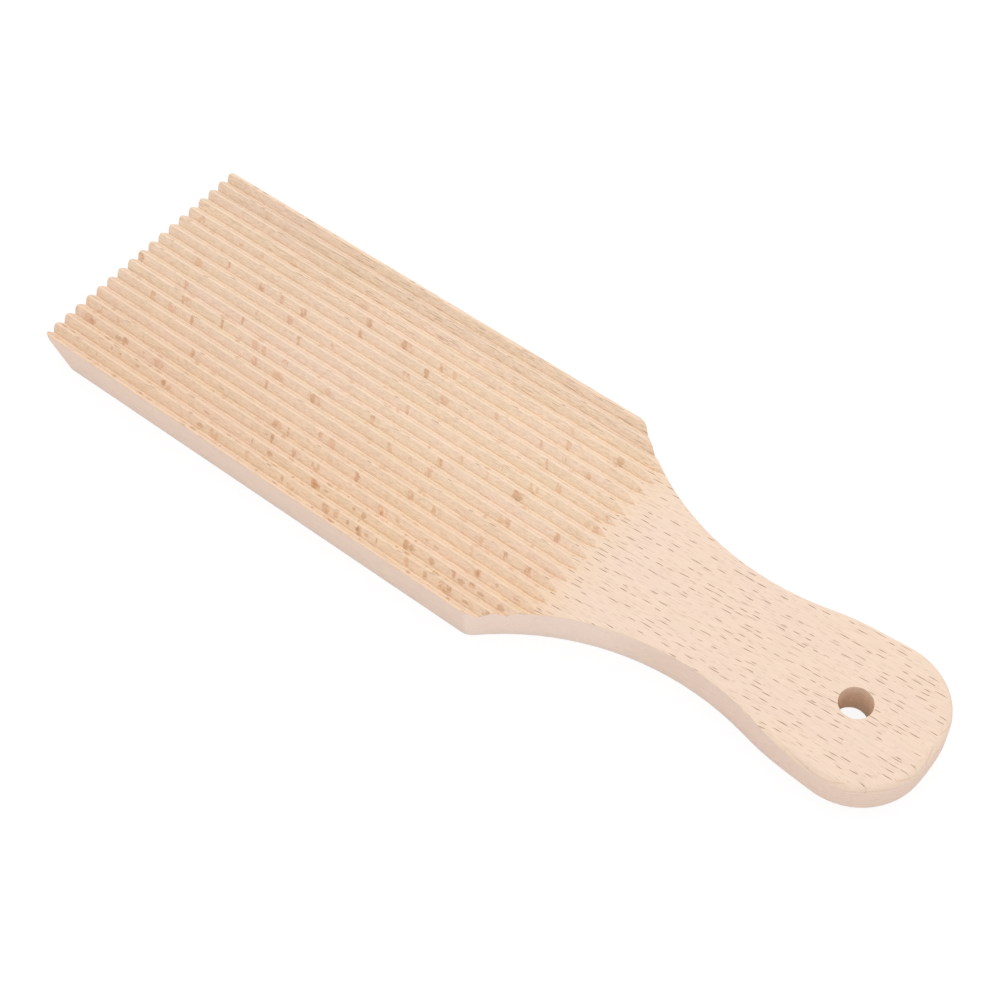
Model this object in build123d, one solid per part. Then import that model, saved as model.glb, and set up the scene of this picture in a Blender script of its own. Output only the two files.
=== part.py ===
from build123d import *
from math import atan2, cos, hypot, sin, sqrt, tan
import os

os.makedirs("parts", exist_ok=True)

# Gnocchi board, cut from one piece of beech. Millimetres.
# X runs along the board from the blade end to the handle end, Z is up.
# The grooved face is on top and the flat back is at Z zero.

# Overall
board_length = 218.0
board_thickness = 8.6
blade_width = 64.0
edge_ease = 0.3             # small rounding along the outline, top and bottom

# Outline of the neck and grip, a chain of arcs on each side
neck_from_end = 49.5        # from the narrowest place to the handle end
neck_width = 27.7
neck_radius = 63.0          # hollow arc from the shoulder to the flare
flare_width = 37.6
flare_radius = 108.0        # full arc of the grip
end_radius = 47.5           # flat arc across the handle end
grip_corner_radius = 15.3
shoulder_radius = 4.0
blade_corner_radius = 1.2

# Grooves, cut along the board side by side
groove_count = 18
groove_pitch = 3.5
land_width = 0.16           # flat left between two grooves
groove_depth = 1.3
groove_shift = -0.26        # the row lies this far off the middle line
groove_overrun = 6.7        # full depth goes this far past the shoulders
groove_tip_run = 5.1        # and the tip is this much farther on

# Blade end, undercut from the back
end_land = 0.55             # upright part left under the top edge
bevel_run = 6.9
bevel_toe_radius = 2.0

# Grip
grip_round = 1.8
grip_round_margin = 0.03    # keeps the rounding just outside the side faces
hole_diameter = 7.4
hole_from_end = 18.5

# How far a cutter stands clear of the wood
cutter_margin = 2.0
cutter_rise_share = 0.8


def circle_crossing(centre_a, radius_a, centre_b, radius_b):
    """Upper point where two circles cross, as X and Y."""
    gap_x = centre_b[0] - centre_a[0]
    gap_y = centre_b[1] - centre_a[1]
    gap = hypot(gap_x, gap_y)
    along = (radius_a**2 - radius_b**2 + gap**2) / (2 * gap)
    across = sqrt(radius_a**2 - along**2)
    foot_x = centre_a[0] + gap_x * along / gap
    foot_y = centre_a[1] + gap_y * along / gap
    first = (foot_x - gap_y * across / gap, foot_y + gap_x * across / gap)
    second = (foot_x + gap_y * across / gap, foot_y - gap_x * across / gap)
    return max(first, second, key=lambda point: point[1])


# Outline points of the upper half, worked out from where the arcs touch and cross
half_blade = blade_width / 2
neck_station = board_length - neck_from_end
neck_centre = (neck_station, neck_width / 2 + neck_radius)
flare_drop = neck_centre[1] - (flare_width / 2 - flare_radius)
flare_station = neck_station + sqrt((neck_radius + flare_radius)**2 - flare_drop**2)
flare_centre = (flare_station, flare_width / 2 - flare_radius)
end_centre = (board_length - end_radius, 0)

shoulder_drop = neck_centre[1] - half_blade
shoulder_station = neck_station - sqrt(neck_radius**2 - shoulder_drop**2)
neck_share = neck_radius / (neck_radius + flare_radius)
grip_start_x = neck_centre[0] + (flare_centre[0] - neck_centre[0]) * neck_share
grip_start_y = neck_centre[1] + (flare_centre[1] - neck_centre[1]) * neck_share
end_corner = circle_crossing(flare_centre, flare_radius, end_centre, end_radius)
corner_centre = circle_crossing(
    flare_centre,
    flare_radius - grip_corner_radius,
    end_centre,
    end_radius - grip_corner_radius,
)


def flare_height(station):
    """Half width of the grip's arc at a distance from the blade end."""
    return flare_centre[1] + sqrt(flare_radius**2 - (station - flare_station)**2)


# Outline of the whole board as one closed wire, with spare length at the blade end
blank_start = -cutter_margin
with BuildSketch() as outline:
    with BuildLine():
        blade_side = Line((blank_start, half_blade), (shoulder_station, half_blade))
        neck_arc = ThreePointArc(
            blade_side @ 1,
            (neck_station, neck_width / 2),
            (grip_start_x, grip_start_y),
        )
        grip_middle = (grip_start_x + end_corner[0]) / 2
        grip_arc = ThreePointArc(
            neck_arc @ 1,
            (grip_middle, flare_height(grip_middle)),
            end_corner,
        )
        mirror(about=Plane.XZ)
        ThreePointArc(
            end_corner,
            (board_length, 0),
            (end_corner[0], -end_corner[1]),
        )
        Line((blank_start, half_blade), (blank_start, -half_blade))
    make_face()
    corners = outline.vertices().sort_by(Axis.X)
    fillet(corners[-2:], grip_corner_radius)
    shoulders = [
        corner for corner in outline.vertices()
        if abs(corner.X - shoulder_station) < shoulder_radius
        and abs(abs(corner.Y) - half_blade) < shoulder_radius / 2
    ]
    fillet(shoulders, shoulder_radius)

board = extrude(outline.sketch, board_thickness)
rim_edges = [edge for edge in board.edges() if edge.bounding_box().size.Z < edge_ease]
board = fillet(rim_edges, edge_ease)

# Blade end: square and sharp on top, then cut away at a slant with a round toe
land_foot = board_thickness - end_land
slant_angle = atan2(land_foot, bevel_run)
toe_run = bevel_toe_radius * tan(slant_angle / 2)
toe_start = (bevel_run - toe_run * cos(slant_angle), toe_run * sin(slant_angle))
toe_end = (bevel_run + toe_run, 0)
waste_start = blank_start - cutter_margin
with BuildSketch(Plane.XZ) as end_profile:
    with BuildLine():
        Line((0, land_foot), toe_start)
        TangentArc(toe_start, toe_end, tangent=(cos(slant_angle), -sin(slant_angle)))
        Polyline(
            toe_end,
            (toe_end[0], -cutter_margin),
            (waste_start, -cutter_margin),
            (waste_start, board_thickness + cutter_margin),
            (0, board_thickness + cutter_margin),
            (0, land_foot),
        )
    make_face()
end_cutter = extrude(end_profile.sketch, half_blade + cutter_margin, both=True)
board -= end_cutter

# The two upright corners of the blade end, rounded off
corner_start = half_blade - blade_corner_radius
with BuildSketch() as corner_profile:
    with BuildLine():
        TangentArc(
            (0, corner_start),
            (blade_corner_radius, half_blade),
            tangent=(0, 1),
        )
        Polyline(
            (blade_corner_radius, half_blade),
            (blade_corner_radius, half_blade + cutter_margin),
            (-cutter_margin, half_blade + cutter_margin),
            (-cutter_margin, corner_start),
            (0, corner_start),
        )
    make_face()
corner_cutter = extrude(corner_profile.sketch, board_thickness + cutter_margin)
board -= [corner_cutter, mirror(corner_cutter, about=Plane.XZ)]

# One groove cutter: a straight run of vee section, then the same section
# swung up about a cross axis, so the groove ends in a pointed tongue
groove_full_end = shoulder_station + groove_overrun
groove_half = (groove_pitch - land_width) / 2
cutter_rise = cutter_rise_share * groove_depth * land_width / (2 * groove_half)
cutter_half = groove_half * (groove_depth + cutter_rise) / groove_depth
run_out_radius = (groove_tip_run**2 + groove_depth**2) / (2 * groove_depth)
groove_floor = board_thickness - groove_depth
groove_mouth = board_thickness + cutter_rise
section_plane = Plane(origin=(groove_full_end, 0, 0), x_dir=(0, 1, 0), z_dir=(1, 0, 0))
with BuildSketch(section_plane) as vee:
    with BuildLine():
        Polyline(
            (0, groove_floor),
            (cutter_half, groove_mouth),
            (-cutter_half, groove_mouth),
            close=True,
        )
    make_face()
straight_run = extrude(vee.sketch, -(groove_full_end + cutter_margin))
swing_axis = Axis((groove_full_end, 0, groove_floor + run_out_radius), (0, -1, 0))
swing_angle = 60
run_out = revolve(vee.sketch, swing_axis, swing_angle)
groove_cutter = straight_run + run_out

# The row of grooves, side by side across the board
first_groove = groove_shift - (groove_count - 1) * groove_pitch / 2
groove_row = [
    Pos(0, first_groove + index * groove_pitch, 0) * groove_cutter
    for index in range(groove_count)
]
board -= groove_row

# Grip rounding: a slab with round edges, taken away from a plain block, leaves a
# cutter. The slab follows the grip's end and corners, then its sides run on
# straight while the board narrows, so the rounding fades out up the neck.
side_reach = flare_radius - grip_corner_radius
side_normal_x = (corner_centre[0] - flare_centre[0]) / side_reach
side_normal_y = (corner_centre[1] - flare_centre[1]) / side_reach
slab_corner = grip_corner_radius + grip_round_margin
side_end_x = corner_centre[0] + side_normal_x * slab_corner
side_end_y = corner_centre[1] + side_normal_y * slab_corner
side_start_y = side_end_y + (side_end_x - neck_station) * side_normal_x / side_normal_y
slab_end = end_radius + grip_round_margin
end_reach = end_radius - grip_corner_radius
end_start_x = end_centre[0] + (corner_centre[0] - end_centre[0]) * slab_end / end_reach
end_start_y = corner_centre[1] * slab_end / end_reach
with BuildSketch() as slab_outline:
    with BuildLine():
        Line((neck_station, side_start_y), (side_end_x, side_end_y))
        TangentArc(
            (side_end_x, side_end_y),
            (end_start_x, end_start_y),
            tangent=(side_normal_y, -side_normal_x),
        )
        mirror(about=Plane.XZ)
        ThreePointArc(
            (end_start_x, end_start_y),
            (board_length + grip_round_margin, 0),
            (end_start_x, -end_start_y),
        )
        Line((neck_station, side_start_y), (neck_station, -side_start_y))
    make_face()
slab = extrude(slab_outline.sketch, board_thickness)
slab_edges = [
    edge for edge in slab.edges()
    if edge.bounding_box().size.Z < cutter_margin
    and edge.center().X > neck_station + cutter_margin
]
slab = fillet(slab_edges, grip_round)
block_length = board_length + cutter_margin - neck_station
block = Pos(neck_station + block_length / 2, 0, board_thickness / 2) * Box(
    block_length, flare_width + 2 * cutter_margin, board_thickness
)
board -= block - slab

# Hanging hole through the grip
hole = Pos(board_length - hole_from_end, 0, board_thickness / 2) * Cylinder(
    hole_diameter / 2, board_thickness + 2 * cutter_margin
)
board -= hole

# The frame's origin is under the middle of the board
board = Pos(-board_length / 2, 0, 0) * board
board.label = "board"
export_step(board, "parts/board.step")
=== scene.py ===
import bpy
import math
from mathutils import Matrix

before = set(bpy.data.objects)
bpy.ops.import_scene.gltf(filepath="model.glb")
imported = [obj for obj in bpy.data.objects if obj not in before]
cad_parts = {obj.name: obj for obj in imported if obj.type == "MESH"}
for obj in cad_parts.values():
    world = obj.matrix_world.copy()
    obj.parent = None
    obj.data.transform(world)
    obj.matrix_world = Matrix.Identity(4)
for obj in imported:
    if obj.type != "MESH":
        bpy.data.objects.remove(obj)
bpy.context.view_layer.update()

scene = bpy.context.scene


# Camera
# A little to the right of the board and in front of it, looking down past the
# grip, with the blade running away to the left.
camera_data = bpy.data.cameras.new("camera")
camera_data.sensor_width = 36.0
camera_data.lens = 71.434
camera = bpy.data.objects.new("camera", camera_data)
camera.location = (0.15550, -0.19407, 0.36270)
camera.rotation_euler = (0.601623, 0.010075, 0.663549)
scene.collection.objects.link(camera)
scene.camera = camera


# Board
# The gnocchi board, cut from one piece of pale steamed beech: the blade with
# its 18 vee grooves, the waisted neck and the rounded grip with a hanging hole.
# The faces are sanded and left bare, and the grooves are as the cutter left them.
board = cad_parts["board"]

# Lengths and places of the board that its wood depends on, in millimetres
groove_pitch = 3.5
groove_count = 18
groove_shift = -0.26
blade_top = 8.6
groove_full_end = 21.7
tip_end = groove_full_end + 5.4
by_blade_end = -108.0
hole_x = 90.5
hole_radius = 3.7


def add_node(tree, kind, label="", **settings):
    """A new node, with its plain settings."""
    node = tree.nodes.new(kind)
    node.label = label
    for name, value in settings.items():
        setattr(node, name, value)
    return node


def feed(tree, socket, source):
    """Joins a socket to another node's output, or sets it to a plain value."""
    if isinstance(source, bpy.types.NodeSocket):
        tree.links.new(source, socket)
    else:
        socket.default_value = source


def calc(tree, operation, *sources):
    """One sum on numbers, as an output socket."""
    node = add_node(tree, "ShaderNodeMath", operation=operation)
    for socket, source in zip(node.inputs, sources):
        feed(tree, socket, source)
    return node.outputs[0]


def product(tree, *shares):
    """All the shares multiplied with each other."""
    result = shares[0]
    for share in shares[1:]:
        result = calc(tree, "MULTIPLY", result, share)
    return result


def rest_of(tree, share):
    """What is left of one when the share is taken away."""
    return calc(tree, "SUBTRACT", 1.0, share)


def plus_part(tree, value, part, amount):
    """The value with a part of the amount added."""
    return calc(tree, "ADD", value, calc(tree, "MULTIPLY", part, amount))


def swing(tree, level, reach):
    """A level from 0 to 1 turned into a swing about zero, reach wide from end to end."""
    return calc(tree, "MULTIPLY", calc(tree, "SUBTRACT", level, 0.5), reach)


def slant(tree, first, second):
    """The length of the slant over two lengths at a right angle."""
    squares = calc(tree, "ADD", calc(tree, "POWER", first, 2.0), calc(tree, "POWER", second, 2.0))
    return calc(tree, "SQRT", squares)


def vector_calc(tree, operation, *sources):
    """One sum on vectors, as an output socket."""
    node = add_node(tree, "ShaderNodeVectorMath", operation=operation)
    for socket, source in zip(node.inputs, sources):
        feed(tree, socket, source)
    return node.outputs[0]


def split(tree, vector):
    """The X, Y and Z of a vector."""
    node = add_node(tree, "ShaderNodeSeparateXYZ")
    feed(tree, node.inputs[0], vector)
    return node.outputs[0], node.outputs[1], node.outputs[2]


def join(tree, **parts):
    """A vector from the parts given as X, Y and Z."""
    node = add_node(tree, "ShaderNodeCombineXYZ")
    for name, source in parts.items():
        feed(tree, node.inputs[name], source)
    return node.outputs[0]


def fade(tree, value, start, end, low=0.0, high=1.0):
    """Low before start, high after end, and smooth between them."""
    node = add_node(tree, "ShaderNodeMapRange", interpolation_type="SMOOTHSTEP")
    for name, source in (("Value", value), ("From Min", start), ("From Max", end),
                         ("To Min", low), ("To Max", high)):
        feed(tree, node.inputs[name], source)
    return node.outputs["Result"]


def fade_out(tree, value, start, end):
    """One before start, zero after end, and smooth between them."""
    return fade(tree, value, start, end, 1.0, 0.0)


def spread(tree, share, smallest, largest):
    """The smallest at share zero, the largest at share one."""
    return fade(tree, share, 0.0, 1.0, smallest, largest)


def blend_colour(tree, share, first, second, mode="MIX"):
    """First colour changed by the second, as far as share says."""
    node = add_node(tree, "ShaderNodeMix", data_type="RGBA", blend_type=mode)
    feed(tree, node.inputs["Factor"], share)
    feed(tree, node.inputs[6], first)
    feed(tree, node.inputs[7], second)
    return node.outputs[2]


def tinted(tree, share, colour, tint):
    """The colour multiplied by a tint, as far as share says."""
    return blend_colour(tree, share, colour, tint, "MULTIPLY")


def noise(tree, vector, size, detail=3.0, roughness=0.55, seed=0.0, label=""):
    """Smooth noise with a size along and across the grain, in millimetres."""
    scaled = vector_calc(tree, "MULTIPLY", vector, tuple(1 / length for length in size))
    node = add_node(tree, "ShaderNodeTexNoise", label, noise_dimensions="4D")
    feed(tree, node.inputs["Vector"], scaled)
    feed(tree, node.inputs["W"], seed)
    feed(tree, node.inputs["Scale"], 1.0)
    feed(tree, node.inputs["Detail"], detail)
    feed(tree, node.inputs["Roughness"], roughness)
    return node.outputs["Fac"]


def ray_marks(tree, grain, spacing, length, width, share, seed, label):
    """Spindle marks where the wood's rays end: one in most cells of a cell pattern.

    spacing is the cell size along and across the grain, length and width are the
    smallest and largest of each, all in millimetres."""
    scatter = 0.75
    lean = 0.05
    seed_shift = (17.3, 9.7)
    soft_edge = (0.6, 1.0)
    full_share = 0.35
    shifted = vector_calc(tree, "ADD", grain, (seed * seed_shift[0], seed * seed_shift[1], 0.0))
    cells = vector_calc(tree, "MULTIPLY", shifted, (1 / spacing[0], 1 / spacing[1], 0.0))
    cell = add_node(tree, "ShaderNodeTexVoronoi", label, voronoi_dimensions="2D")
    feed(tree, cell.inputs["Vector"], cells)
    feed(tree, cell.inputs["Scale"], 1.0)
    feed(tree, cell.inputs["Randomness"], scatter)
    offset = vector_calc(tree, "SUBTRACT", cells, cell.outputs["Position"])
    along, across, _ = split(tree, vector_calc(tree, "MULTIPLY", offset, (*spacing, 0.0)))
    pick, size, turn = split(tree, cell.outputs["Color"])
    half_length = spread(tree, size, length[0] / 2, length[1] / 2)
    half_width = spread(tree, pick, width[0] / 2, width[1] / 2)
    across = plus_part(tree, across, along, swing(tree, turn, lean))
    end_share = calc(tree, "POWER", calc(tree, "DIVIDE", along, half_length), 2.0)
    side_share = calc(tree, "DIVIDE", calc(tree, "ABSOLUTE", across), half_width)
    mark = fade_out(tree, calc(tree, "ADD", end_share, side_share), *soft_edge)
    kept = fade(tree, pick, 1 - share, 1 - share * full_share)
    return product(tree, mark, kept)


def flecks(tree, along, row, across, cell_length, length, height, share, seed, label):
    """Round spots, at most one in each cell of a row: the reach of a point from the
    spot's middle (one at its edge), whether the cell has a spot, and a chance level.

    along is the place down the row and across the place over it, from 0 to 1.
    cell_length and length are in millimetres, height is a share of the row."""
    row_seed_shift = 0.5
    small_middle, large_middle = 0.60, 0.42
    stagger = add_node(tree, "ShaderNodeTexWhiteNoise", label, noise_dimensions="2D")
    feed(tree, stagger.inputs["Vector"], join(tree, X=row, Y=seed + row_seed_shift))
    steps = calc(tree, "ADD", calc(tree, "DIVIDE", along, cell_length), stagger.outputs["Value"])
    number = calc(tree, "FLOOR", steps)
    chance = add_node(tree, "ShaderNodeTexWhiteNoise", label, noise_dimensions="3D")
    feed(tree, chance.inputs["Vector"], join(tree, X=number, Y=row, Z=seed))
    pick, size, level = split(tree, chance.outputs["Color"])
    room = length[1] / 2 / cell_length
    centre = spread(tree, pick, room, 1 - room)
    from_centre = calc(tree, "SUBTRACT", calc(tree, "SUBTRACT", steps, number), centre)
    half_length = spread(tree, size, length[0] / 2, length[1] / 2)
    half_height = spread(tree, level, height[0] / 2, height[1] / 2)
    middle = spread(tree, size, small_middle, large_middle)
    end_share = calc(tree, "DIVIDE", calc(tree, "MULTIPLY", from_centre, cell_length), half_length)
    side_share = calc(tree, "DIVIDE", calc(tree, "SUBTRACT", across, middle), half_height)
    reach = slant(tree, end_share, side_share)
    kept = calc(tree, "LESS_THAN", chance.outputs["Value"], share)
    return reach, kept, level


beech = bpy.data.materials.new("beech")
beech.use_nodes = True
tree = beech.node_tree
shader = tree.nodes["Principled BSDF"]
coords = add_node(tree, "ShaderNodeTexCoord", "board coordinates")
millimetres_in_metre = 1000.0
place = vector_calc(tree, "MULTIPLY", coords.outputs["Object"], (millimetres_in_metre,) * 3)
x, y, z = split(tree, place)
normal_x, normal_y, normal_z = split(tree, coords.outputs["Normal"])
steepness = calc(tree, "ABSOLUTE", normal_z)

# Grain frame: along the grain, across the rays, and out from the heart of the tree.
# The grain drifts a few degrees off the board's length and wanders on its way.
ray_tilt = math.radians(38)
grain_drift = math.radians(-3.0)
wander_size = (80, 26, 26)
wander_reach = 2.4
turned = add_node(tree, "ShaderNodeMapping", "grain frame", vector_type="POINT")
turned.inputs["Rotation"].default_value = (ray_tilt, 0, grain_drift)
feed(tree, turned.inputs["Vector"], place)
wander = noise(tree, place, wander_size, detail=1.0, seed=3.0, label="wandering grain")
drift = join(tree, Y=swing(tree, wander, wander_reach))
grain = vector_calc(tree, "ADD", turned.outputs["Vector"], drift)

# Where the surface lies: in a groove, on its near or far flank, on a side face, on
# the hole's wall, or on the undercut blade end. Depths and places are in millimetres.
groove_depths = (0.02, 0.14)
tip_blur = 0.2
flat_normals = (0.3, 0.5)
near_normals = (-0.35, -0.15)
undercut_normals = (-0.75, -0.6)
wall_places = (hole_radius + 0.02, hole_radius + 0.1)
depth = calc(tree, "SUBTRACT", blade_top, z)
in_depth = fade(tree, depth, *groove_depths)
before_tips = fade_out(tree, x, tip_end - tip_blur, tip_end + tip_blur)
not_side = fade(tree, steepness, *flat_normals)
side = rest_of(tree, not_side)
upward = fade(tree, normal_z, *flat_normals)
groove = product(tree, in_depth, before_tips, not_side, upward)
near_flank = product(tree, groove, fade_out(tree, normal_y, *near_normals))
far_flank = calc(tree, "SUBTRACT", groove, near_flank)
hole_wall = fade_out(tree, slant(tree, calc(tree, "SUBTRACT", x, hole_x), y), *wall_places)
end_grain = fade_out(tree, normal_x, *undercut_normals)

# Ground colour, from cream to faintly pink in long soft patches
cream = (0.897, 0.698, 0.548, 1)
pink = (0.892, 0.692, 0.556, 1)
ground_size = (26, 7, 12)
ground_levels = (0.38, 0.62)
ground = noise(tree, grain, ground_size, seed=1.0, label="cream and pink patches")
colour = blend_colour(tree, fade(tree, ground, *ground_levels), cream, pink)

# The side faces, across the rays, are a little pinker, and more so along the bottom, where the
# extra is painted bounce light from the white floor.
# Where the shoulders face along the board, across the grain, they are paler: painted light.
side_tint = (1.0, 1.0, 1.05, 1)
shoulder_light_tint = (1.06, 1.09, 1.11, 1)
shoulder_normals = (0.08, 0.35)
shoulder_places = (50.0, 70.0)
floor_bounce_tint = (0.96, 1.0, 1.05, 1)
floor_bounce_height = 3.0
colour = tinted(tree, side, colour, side_tint)
# Painted light: the side faces that turn along the board, on the shoulders, are made paler
facing_lengthwise = fade(tree, calc(tree, "ABSOLUTE", normal_x), *shoulder_normals)
shoulder = product(tree, side, facing_lengthwise, fade_out(tree, x, *shoulder_places))
colour = tinted(tree, shoulder, colour, shoulder_light_tint)
# Painted bounce light from the white floor, along the bottom of the side faces
floor_bounce_side = product(tree, side, fade_out(tree, z, 0.0, floor_bounce_height))
colour = tinted(tree, floor_bounce_side, colour, floor_bounce_tint)

# The blade is a little yellower than the handle, on the flat parts by this tint and in
# the grooves by their own. The edge of the yellow is uneven.
yellow_tint = (1.0, 0.975, 0.915, 1)
yellow_size = (16, 16, 16)
yellow_reach = 10.0
yellow_places = (tip_end + 2, tip_end + 14)
yellowing = noise(tree, place, yellow_size, detail=1.0, seed=9.0, label="edge of yellow")
yellow_place = plus_part(tree, x, yellowing, yellow_reach)
yellow_share = product(tree, fade_out(tree, yellow_place, *yellow_places), not_side)
colour = tinted(tree, product(tree, yellow_share, rest_of(tree, groove)), colour, yellow_tint)

# Fine fibre streaks, and longer fine lines among them
fibre_size = (6, 0.2, 0.2)
fibre_levels = (0.25, 0.75)
fibre_tones = (0.93, 1.06)
hair_size = (15, 0.2, 0.2)
hair_levels = (0.60, 0.70)
hair_tint = (0.93, 0.87, 0.83, 1)
hair_strength = 0.55
fibre = noise(tree, grain, fibre_size, roughness=0.6, seed=2.0, label="fibres")
colour = tinted(tree, 1.0, colour, fade(tree, fibre, *fibre_levels, *fibre_tones))
hairs = noise(tree, grain, hair_size, detail=2.0, roughness=0.5, seed=10.0,
              label="long fine lines")
colour = tinted(tree, fade(tree, hairs, *hair_levels, 0.0, hair_strength), colour, hair_tint)

# The ribs nearest the camera run through tanner wood
tan_tint = (0.98, 0.94, 0.90, 1)
tan_reach = 12.0
tan_places = (-20.0, 6.0)
tan_edge = fade_out(tree, plus_part(tree, y, yellowing, tan_reach), *tan_places)
near_tan = product(tree, tan_edge, yellow_share, not_side)
colour = tinted(tree, near_tan, colour, tan_tint)

# Groove flanks: each in its own tone, changing along the board. They are numbered
# across it, two to a groove, and a place on one runs from 0 on its -Y side to 1.
row_start = groove_shift - groove_pitch * groove_count / 2
row_place = calc(tree, "DIVIDE", calc(tree, "SUBTRACT", y, row_start), groove_pitch / 2)
flank = calc(tree, "FLOOR", row_place)
flank_place = calc(tree, "SUBTRACT", row_place, flank)
tone_step_along, tone_step_across = 0.022, 1.7
tone_levels = (0.34, 0.66)
pinker_flank = (1.03, 1.02, 0.995, 1)
tanner_flank = (1.01, 1.01, 0.94, 1)
tone_place = join(tree, X=calc(tree, "MULTIPLY", x, tone_step_along),
                  Y=calc(tree, "MULTIPLY", flank, tone_step_across))
tone = noise(tree, tone_place, (1, 1, 1), detail=2.0, seed=4.0, label="flank tone")
flank_tint = blend_colour(tree, fade(tree, tone, *tone_levels), pinker_flank, tanner_flank)
colour = tinted(tree, groove, colour, flank_tint)

# Across each rib a set of tones is painted in for light and shade. The far flank gets a painted
# light, paler toward the groove's floor, with a painted shade band half way down it.
far_flank_light_tint = (1.035, 1.07, 1.085, 1)
far_tint = (0.985, 0.98, 0.98, 1)
band_shade_tint = (0.935, 0.92, 0.915, 1)
band_start, band_end = (0.15, 0.4), (0.60, 0.85)
foot_highlight_tint = (1.02, 1.04, 1.04, 1)
foot_places = (0.72, 0.9)
# Painted light on the far flank, growing toward the groove's floor
colour = tinted(tree, product(tree, far_flank, flank_place), colour, far_flank_light_tint)
colour = tinted(tree, far_flank, colour, far_tint)
# Painted shade: a darker band half way down the far flank
band = product(tree, fade(tree, flank_place, *band_start), fade_out(tree, flank_place, *band_end))
colour = tinted(tree, product(tree, far_flank, band), colour, band_shade_tint)
# Painted highlight: a paler line at the far flank's foot, by the groove's floor
foot = product(tree, far_flank, fade(tree, flank_place, *foot_places))
colour = tinted(tree, foot, colour, foot_highlight_tint)

# The near flank has a painted shade: a fine dark line along the groove's floor, a little darker
# toward it, and shaded again just under the crest.
floor_shade_tint = (0.93, 0.90, 0.88, 1)
floor_line_places = (0.08, 0.24)
near_low_shade_tint = (0.955, 0.955, 0.95, 1)
under_crest_shade_tint = (0.965, 0.95, 0.94, 1)
under_crest_places = (0.7, 0.88)
# Painted shade in the groove's crease, deepening toward it, and under the crest
floor_shade_line = product(tree, near_flank, fade_out(tree, flank_place, *floor_line_places))
colour = tinted(tree, floor_shade_line, colour, floor_shade_tint)
near_low_shade = product(tree, near_flank, rest_of(tree, flank_place))
colour = tinted(tree, near_low_shade, colour, near_low_shade_tint)
under_crest_shade = product(tree, near_flank, fade(tree, flank_place, *under_crest_places))
colour = tinted(tree, under_crest_shade, colour, under_crest_shade_tint)

# The crests get a painted highlight, up to a little way down the near flank, and the highlight
# fades out where the grooves do
crest_highlight_tint = (1.045, 1.06, 1.07, 1)
crest_lap = 0.05
crest_depths = (0.04, 0.08)
crest_fade_run = 4.0
crest_depth = plus_part(tree, depth, near_flank, -crest_lap)
crest = product(tree, fade_out(tree, crest_depth, *crest_depths),
                fade_out(tree, x, groove_full_end - crest_fade_run, tip_end), not_side)
# Painted highlight along the crests
colour = tinted(tree, crest, colour, crest_highlight_tint)

# Lengthwise streaks in the grooves, and the short strokes of fibres cut slantwise
streak_size = (24, 0.8, 0.8)
streak_levels = (0.50, 0.72)
streak_tint = (0.96, 0.95, 0.92, 1)
stroke_size = (1.5, 0.17, 0.17)
stroke_levels = (0.32, 0.62)
dark_stroke = (0.905, 0.893, 0.875, 1)
pale_stroke = (1.055, 1.06, 1.065, 1)
streaks = noise(tree, grain, streak_size, seed=5.0, label="lengthwise streaks")
streaked = product(tree, groove, fade(tree, streaks, *streak_levels))
colour = tinted(tree, streaked, colour, streak_tint)
strokes = noise(tree, grain, stroke_size, detail=1.0, roughness=0.6, seed=6.0,
                label="cut fibre strokes")
stroke_tint = blend_colour(tree, fade(tree, strokes, *stroke_levels), dark_stroke, pale_stroke)
colour = tinted(tree, groove, colour, stroke_tint)

# The ribs get a little paler from the blade end toward the handle
blade_end_tint = (0.972, 0.96, 0.967, 1)
shoulder_end_tint = (1.022, 1.022, 1.022, 1)
by_shoulder = 14.0
along_tint = blend_colour(tree, fade(tree, x, by_blade_end, by_shoulder), blade_end_tint,
                          shoulder_end_tint)
colour = tinted(tree, groove, colour, along_tint)

# Toward the pointed ends of the grooves the cut runs out across the grain and darkens
run_out_tint = (0.995, 0.985, 0.98, 1)
run_out_places = (groove_full_end - 7.0, groove_full_end + 1.0)
run_out = product(tree, groove, fade(tree, x, *run_out_places))
colour = tinted(tree, run_out, colour, run_out_tint)

# The far ribs run through another band of wood, with fine grey-brown lines, fewer
# toward the blade end, and are darkest along the far rim
far_slope = -0.03
far_places = (17.0, 24.0)
far_full_start = -40.0
far_end_share = 0.6
far_wood_tint = (1.015, 1.01, 1.005, 1)
rim_tint = (0.96, 0.955, 0.955, 1)
rim_places = (21.0, 27.0)
line_size = (26, 0.24, 0.24)
line_levels = (0.60, 0.66)
line_brown = (0.42, 0.26, 0.15, 1)
line_strength = 0.55
far_share = product(tree, fade(tree, plus_part(tree, y, x, far_slope), *far_places),
                    fade(tree, x, by_blade_end, far_full_start, far_end_share, 1.0),
                    yellow_share)
colour = tinted(tree, far_share, colour, far_wood_tint)
rim = product(tree, fade(tree, y, *rim_places), yellow_share, not_side)
colour = tinted(tree, rim, colour, rim_tint)
lines = noise(tree, grain, line_size, detail=1.0, roughness=0.5, seed=7.0, label="dark lines")
line_share = product(tree, fade(tree, lines, *line_levels), far_share, line_strength)
colour = blend_colour(tree, line_share, colour, line_brown)

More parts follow.
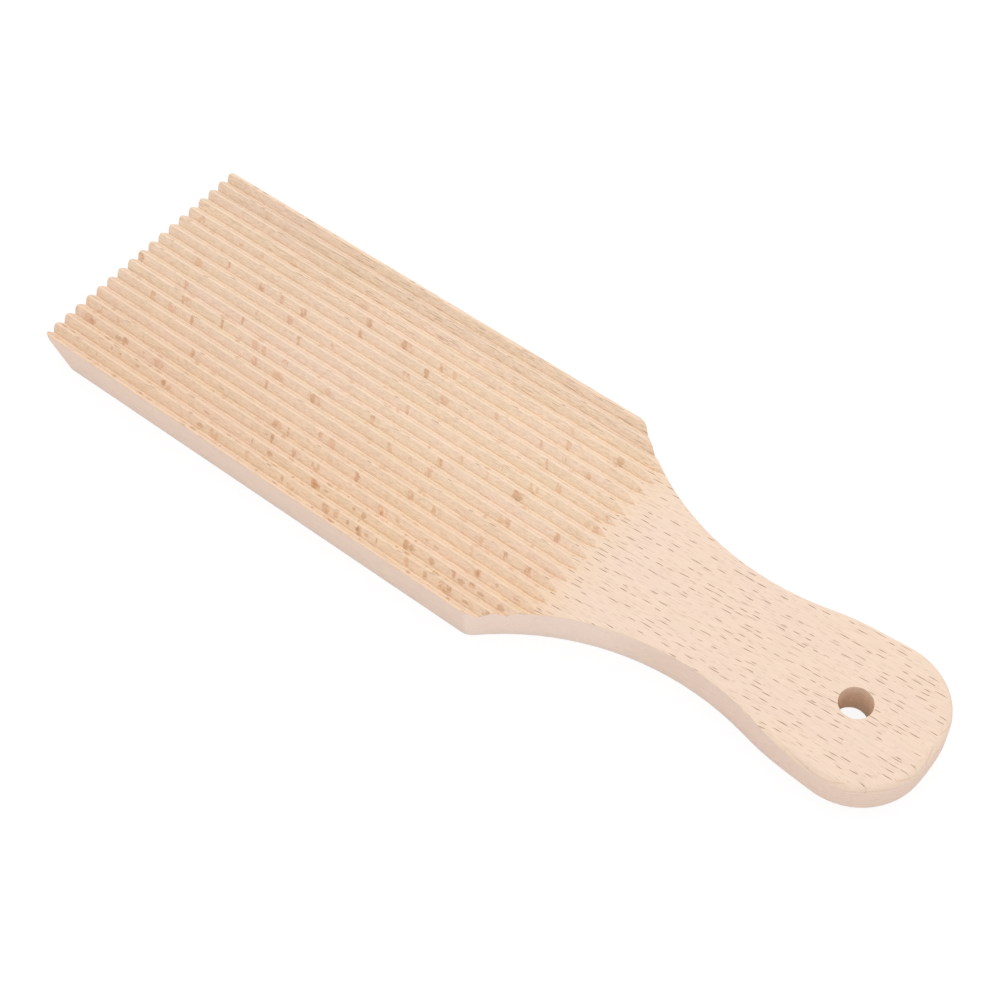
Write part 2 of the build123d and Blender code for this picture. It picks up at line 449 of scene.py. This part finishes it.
# Ray ends on the sanded faces: thin dark spindles, and finer faint ones between.
# They thin out on the sides and on the rounded edges.
ray_brown = (0.36, 0.185, 0.105, 1)
side_loss = 0.85
level_normals = (0.90, 0.985)
edge_share = 0.15
large_strength = 0.92
small_strength = 0.34
sanded = product(tree, plus_part(tree, 1.0, side, -side_loss), rest_of(tree, groove),
                 fade(tree, steepness, *level_normals, edge_share, 1.0),
                 rest_of(tree, end_grain))
large_marks = ray_marks(tree, grain, spacing=(2.9, 1.10), length=(1.7, 3.4),
                        width=(0.08, 0.145), share=0.68, seed=1.0, label="large rays")
small_marks = ray_marks(tree, grain, spacing=(1.9, 0.62), length=(1.0, 2.6),
                        width=(0.06, 0.13), share=0.62, seed=2.0, label="small rays")
colour = blend_colour(tree, product(tree, small_marks, sanded, small_strength), colour, ray_brown)
colour = blend_colour(tree, product(tree, large_marks, sanded, large_strength), colour, ray_brown)

# Ray faces on the groove flanks: ragged reddish spots with darker cores. There are
# hardly any on the far ribs, and they are fainter on the far flanks.
ragged_size = (0.55, 0.7, 0.7)
ragged_reach = 1.6
patch_size = (1.3, 1.2, 1)
spot_lean = 0.7
far_flank_loss = 0.4
spot_edge = (0.75, 1.1)
spot_levels = (0.36, 0.46)
spot_tint = (0.93, 0.825, 0.765, 1)
core_levels, core_chances = (0.48, 0.57), (0.2, 0.7)
core_tint = (0.87, 0.83, 0.79, 1)
ragged = noise(tree, place, ragged_size, detail=2.0, roughness=0.5, seed=8.0,
               label="ragged edge")
ragged = swing(tree, ragged, ragged_reach)
leaning = plus_part(tree, x, flank_place, spot_lean)
patch = noise(tree, join(tree, X=leaning, Y=row_place), patch_size, detail=1.0,
              roughness=0.5, seed=11.0, label="patches")
spotted = product(tree, plus_part(tree, groove, far_flank, -far_flank_loss),
                  rest_of(tree, far_share))
for label, cell_length, length, height, share, seed in (
        ("wide spots", 11.0, (1.6, 3.8), (0.9, 1.5), 0.17, 1.0),
        ("narrow spots", 6.5, (1.0, 1.9), (0.7, 1.3), 0.24, 2.0)):
    reach, kept, level = flecks(tree, leaning, flank, flank_place, cell_length, length, height,
                                share, seed, label)
    inside = fade_out(tree, calc(tree, "ADD", reach, ragged), *spot_edge)
    spot = product(tree, kept, spotted, inside)
    shown = product(tree, spot, fade(tree, patch, *spot_levels))
    colour = tinted(tree, shown, colour, spot_tint)
    core = product(tree, spot, fade(tree, level, *core_chances),
                   fade(tree, patch, *core_levels))
    colour = tinted(tree, core, colour, core_tint)

# Small brown flecks, thickest on the ribs nearest the camera and at the groove tips
fleck_tint = (0.81, 0.71, 0.625, 1)
fleck_edge = (0.7, 1.1)
near_rib_places = (-27.0, -13.0)
other_rib_share = 0.12
tip_places = (groove_full_end - 3.0, groove_full_end + 2.0)
tip_share = 0.7
near_ribs = fade(tree, y, *near_rib_places, 1.0, other_rib_share)
at_tips = fade(tree, x, *tip_places, 0.0, tip_share)
reach, kept, _ = flecks(tree, leaning, flank, flank_place, cell_length=2.7, length=(0.4, 2.2),
                        height=(0.18, 0.6), share=0.30, seed=4.0, label="small flecks")
small = product(tree, fade_out(tree, calc(tree, "ADD", reach, ragged), *fleck_edge), kept,
                groove, calc(tree, "MAXIMUM", near_ribs, at_tips))
colour = tinted(tree, small, colour, fleck_tint)

# Growth rings: fine lines that come out on the rounded edge and the back of the grip
# and on the undercut blade end
ring_pitch = 1.1
ring_wave_size = (16, 11, 11)
ring_wave_reach = 3.6
ring_widths = (0.03, 0.09)
ring_normals = (0.90, 0.975)
grip_places = (60.0, 85.0)
ring_tint = (0.86, 0.74, 0.66, 1)
ring_strength = 0.6
ring_wave = noise(tree, place, ring_wave_size, detail=0.0, seed=12.0, label="ring wave")
ring_place = plus_part(tree, calc(tree, "DIVIDE", z, ring_pitch), ring_wave, ring_wave_reach)
ring_step = calc(tree, "ABSOLUTE", calc(tree, "SUBTRACT", calc(tree, "FRACT", ring_place), 0.5))
ringed = calc(tree, "MAXIMUM", fade(tree, x, *grip_places), end_grain)
ring = product(tree, fade_out(tree, ring_step, *ring_widths),
               fade_out(tree, normal_z, *ring_normals), ringed, ring_strength)
colour = tinted(tree, ring, colour, ring_tint)

# The undercut blade end shows end grain, a little darker and freckled
end_grain_tint = (0.95, 0.92, 0.90, 1)
colour = tinted(tree, end_grain, colour, end_grain_tint)
colour = tinted(tree, end_grain, colour, stroke_tint)

# Hole wall, a little yellower, with the fibres cut by the drill
wall_tint = (1.0, 1.0, 0.94, 1)
colour = tinted(tree, hole_wall, colour, wall_tint)
colour = tinted(tree, hole_wall, colour, stroke_tint)

# Bare wood has hardly any shine, and the fibres differ a little in it
bare_wood_shine = 0.3
matt_levels = (0.2, 0.8)
matt_range = (0.56, 0.70)
feed(tree, shader.inputs["Base Color"], colour)
feed(tree, shader.inputs["Specular IOR Level"], bare_wood_shine)
feed(tree, shader.inputs["Roughness"], fade(tree, fibre, *matt_levels, *matt_range))

# Relief: fibres stand a little proud, rays are shallow pits, cut fibres are rough.
# The heights are in millimetres, and the bump node takes metres.
fibre_height = 0.012
ray_pit = 0.035
stroke_height = 0.025
height = calc(tree, "MULTIPLY", fibre, fibre_height)
height = plus_part(tree, height, large_marks, -ray_pit)
height = plus_part(tree, height, product(tree, strokes, groove), stroke_height)
bump = add_node(tree, "ShaderNodeBump", "relief")
feed(tree, bump.inputs["Distance"], 1 / millimetres_in_metre)
feed(tree, bump.inputs["Strength"], 1.0)
feed(tree, bump.inputs["Height"], height)
feed(tree, shader.inputs["Normal"], bump.outputs["Normal"])

for slot in board.material_slots:
    slot.material = beech


# Floor
# A plain white studio floor. Seen straight from the camera it is mostly its own
# white, so that it meets the background, and it keeps a pale shadow. It lies a
# hair under the board's flat back, so that the two aren't in one plane.
floor_half = 3.0
floor_level = -0.00002
matt_white = (0.86, 0.86, 0.86, 1)
shadow_grey = (0.14, 0.14, 0.14, 1)
own_white_strength = 0.885
floor_mesh = bpy.data.meshes.new("floor")
floor_mesh.from_pydata(
    [(-floor_half, -floor_half, floor_level), (floor_half, -floor_half, floor_level),
     (floor_half, floor_half, floor_level), (-floor_half, floor_half, floor_level)],
    [], [(0, 1, 2, 3)])
floor = bpy.data.objects.new("floor", floor_mesh)
scene.collection.objects.link(floor)


def by_camera_ray(tree, others_see, camera_sees, output_name):
    """Joins one shader for camera rays and another for all the rest to the output."""
    path = add_node(tree, "ShaderNodeLightPath")
    choice = add_node(tree, "ShaderNodeMixShader")
    feed(tree, choice.inputs[0], path.outputs["Is Camera Ray"])
    feed(tree, choice.inputs[1], others_see.outputs[0])
    feed(tree, choice.inputs[2], camera_sees.outputs[0])
    feed(tree, tree.nodes[output_name].inputs["Surface"], choice.outputs[0])


floor_paint = bpy.data.materials.new("floor_paint")
floor_paint.use_nodes = True
tree = floor_paint.node_tree
tree.nodes.remove(tree.nodes["Principled BSDF"])
matt = add_node(tree, "ShaderNodeBsdfDiffuse", "matt white")
feed(tree, matt.inputs["Color"], matt_white)
seen_matt = add_node(tree, "ShaderNodeBsdfDiffuse", "shadow keeper")
feed(tree, seen_matt.inputs["Color"], shadow_grey)
seen_glow = add_node(tree, "ShaderNodeEmission", "own white")
feed(tree, seen_glow.inputs["Strength"], own_white_strength)
seen = add_node(tree, "ShaderNodeAddShader")
feed(tree, seen.inputs[0], seen_matt.outputs[0])
feed(tree, seen.inputs[1], seen_glow.outputs[0])
by_camera_ray(tree, matt, seen, "Material Output")
floor_mesh.materials.append(floor_paint)


# Light
# Even white studio light from all round, and one large soft lamp above and
# behind the board that lights the far side of each rib a little more.
white = (1, 1, 1, 1)
surround_strength = 0.88
backdrop_strength = 1.0
world = bpy.data.worlds.new("world")
world.use_nodes = True
tree = world.node_tree
surround = tree.nodes["Background"]
feed(tree, surround.inputs["Color"], white)
feed(tree, surround.inputs["Strength"], surround_strength)
backdrop = add_node(tree, "ShaderNodeBackground", "white backdrop")
feed(tree, backdrop.inputs["Color"], white)
feed(tree, backdrop.inputs["Strength"], backdrop_strength)
by_camera_ray(tree, surround, backdrop, "World Output")
scene.world = world

lamp_data = bpy.data.lights.new("soft_lamp", "AREA")
lamp_data.shape = "RECTANGLE"
lamp_data.size = 0.9
lamp_data.size_y = 0.6
lamp_data.energy = 2.5
lamp = bpy.data.objects.new("soft_lamp", lamp_data)
lamp.location = (-0.20, 0.58, 0.91)
lamp.rotation_euler = (math.radians(-34), 0, math.radians(19))
scene.collection.objects.link(lamp)

scene.view_settings.view_transform = "Standard"
